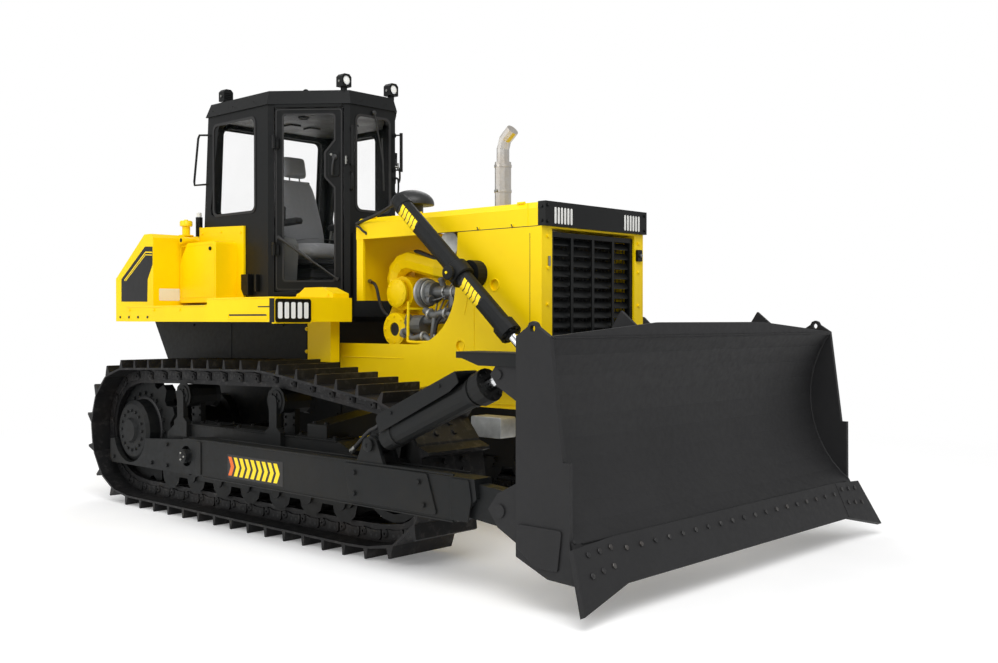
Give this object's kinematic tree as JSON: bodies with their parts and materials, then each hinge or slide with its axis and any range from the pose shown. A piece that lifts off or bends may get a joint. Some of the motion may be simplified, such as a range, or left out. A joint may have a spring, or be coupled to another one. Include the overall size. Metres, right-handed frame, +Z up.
{
  "type": "bulldozer",
  "caption": "Tracked bulldozer with a straight tilting blade on outside push arms, a six-sided cab with two hinged doors and an engine bay open at the sides.",
  "frame": {"origin": "middle of the overall box, on the ground under the tracks", "axes": "+X forward towards the blade, +Y to the machine's left, +Z up"},
  "size_m": [5.4293, 3.172, 3.27],
  "materials": {
    "yellow_paint": "gloss yellow paint",
    "charcoal_paint": "satin charcoal paint",
    "black_paint": "satin black paint",
    "blade_steel": "dull dark grey steel",
    "track_steel": "dark worn steel",
    "engine_grey": "grey castings",
    "light_metal": "pale cast housing",
    "chrome": "polished rods",
    "stainless": "bright exhaust tube",
    "glass": "clear tinted glass",
    "seat_cloth": "black cloth",
    "dark_plastic": "black plastic"
  },
  "bodies": {
    "chassis": {"air_cleaner": "light_metal", "cab_base": "charcoal_paint", "cab_frame": "black_paint", "cab_roof": "black_paint", "engine": "yellow_paint", "equaliser_bar": "charcoal_paint", "exhaust_stack": "stainless", "fender_left": "yellow_paint", "fender_right": "yellow_paint", "final_drive_left": "charcoal_paint", "final_drive_right": "charcoal_paint", "fuel_tank": "yellow_paint", "glass_front": "glass", "glass_rear": "glass", "glass_side_left": "glass", "glass_side_right": "glass", "grille": "black_paint", "header_panel": "black_paint", "hood": "yellow_paint", "lift_yoke_left": "charcoal_paint", "lift_yoke_right": "charcoal_paint", "main_frame": "charcoal_paint", "precleaner": "dark_plastic", "radiator": "black_paint", "radiator_guard": "yellow_paint", "seat": "seat_cloth", "side_box_left": "yellow_paint", "side_box_right": "yellow_paint", "side_guard_left": "yellow_paint", "side_guard_right": "yellow_paint", "sprocket_left": "charcoal_paint", "sprocket_right": "charcoal_paint", "track_frame_left": "charcoal_paint", "track_frame_right": "charcoal_paint", "track_left": "track_steel", "track_right": "track_steel", "turbocharger": "engine_grey"},
    "lift_carrier": {"trunnion_cap_left": "charcoal_paint", "trunnion_cap_right": "charcoal_paint"},
    "blade": {"blade": "blade_steel", "cutting_edge": "blade_steel", "end_bit_left": "blade_steel", "end_bit_right": "blade_steel", "push_arm_left": "charcoal_paint", "brace_left": "charcoal_paint"},
    "right_arm": {"push_arm_right": "charcoal_paint"},
    "tilt_barrel": {"tilt_barrel_right": "charcoal_paint"},
    "tilt_rod": {"tilt_rod_right": "chrome"},
    "lift_barrel_left": {"lift_barrel_left": "charcoal_paint"},
    "lift_barrel_right": {"lift_barrel_right": "charcoal_paint"},
    "lift_rod_left": {"lift_rod_left": "chrome"},
    "lift_rod_right": {"lift_rod_right": "chrome"},
    "door_left": {"door_left": "black_paint", "glass_door_left": "glass"},
    "door_right": {"door_right": "black_paint", "glass_door_right": "glass"}
  },
  "joints": [
    {"name": "blade_lift", "type": "hinge", "parent": "chassis", "child": "lift_carrier", "pos_m": [-0.8845, 0, 0.49], "axis": [0, -1, 0], "range_deg": [-10, 17]},
    {"name": "blade_tilt", "type": "hinge", "parent": "lift_carrier", "child": "blade", "pos_m": [-0.8845, 1.38, 0.49], "axis": [0.9058, -0.4237, -0.0077], "range_deg": [-5, 5]},
    {"name": "right_arm_swing", "type": "hinge", "parent": "lift_carrier", "child": "right_arm", "pos_m": [-0.8845, -1.38, 0.49], "axis": [0, 1, 0], "range_deg": [-3, 3]},
    {"name": "tilt_barrel_swing", "type": "hinge", "parent": "right_arm", "child": "tilt_barrel", "pos_m": [1.0455, -1.38, 0.715], "axis": [0.3712, -0.3349, -0.8661], "range_deg": [-4, 4]},
    {"name": "tilt_rod_slide", "type": "slide", "parent": "tilt_barrel", "child": "tilt_rod", "axis": [0.9191, 0, 0.3939], "range_m": [-0.06, 0.06]},
    {"name": "lift_barrel_left_swing", "type": "hinge", "parent": "chassis", "child": "lift_barrel_left", "pos_m": [1.0055, 0.68, 1.715], "axis": [0, -1, 0], "range_deg": [-17, 28]},
    {"name": "lift_rod_left_slide", "type": "slide", "parent": "lift_barrel_left", "child": "lift_rod_left", "axis": [0.7535, 0, -0.6575], "range_m": [-0.6, 0.36]},
    {"name": "door_left_hinge", "type": "hinge", "parent": "chassis", "child": "door_left", "pos_m": [-1.03415, 0.6071, 2.35], "axis": [0, 0, 1], "range_deg": [0, 100]},
    {"name": "lift_barrel_right_swing", "type": "hinge", "parent": "chassis", "child": "lift_barrel_right", "pos_m": [1.0055, -0.68, 1.715], "axis": [0, -1, 0], "range_deg": [-17, 28]},
    {"name": "lift_rod_right_slide", "type": "slide", "parent": "lift_barrel_right", "child": "lift_rod_right", "axis": [0.7535, 0, -0.6575], "range_m": [-0.6, 0.36]},
    {"name": "door_right_hinge", "type": "hinge", "parent": "chassis", "child": "door_right", "pos_m": [-1.03415, -0.6071, 2.35], "axis": [0, 0, -1], "range_deg": [0, 100]}
  ],
  "couplings": [
    {"joint": "right_arm_swing", "follows": "blade_tilt", "ratio": 0.42228},
    {"joint": "tilt_barrel_swing", "follows": "blade_tilt", "ratio": 0.59622},
    {"joint": "tilt_rod_slide", "follows": "blade_tilt", "m_per_rad": -0.53598},
    {"joint": "lift_barrel_left_swing", "follows": "blade_lift", "ratio": 1.62},
    {"joint": "lift_rod_left_slide", "follows": "blade_lift", "m_per_rad": -1.98},
    {"joint": "lift_barrel_right_swing", "follows": "blade_lift", "ratio": 1.62},
    {"joint": "lift_rod_right_slide", "follows": "blade_lift", "m_per_rad": -1.98}
  ]
}
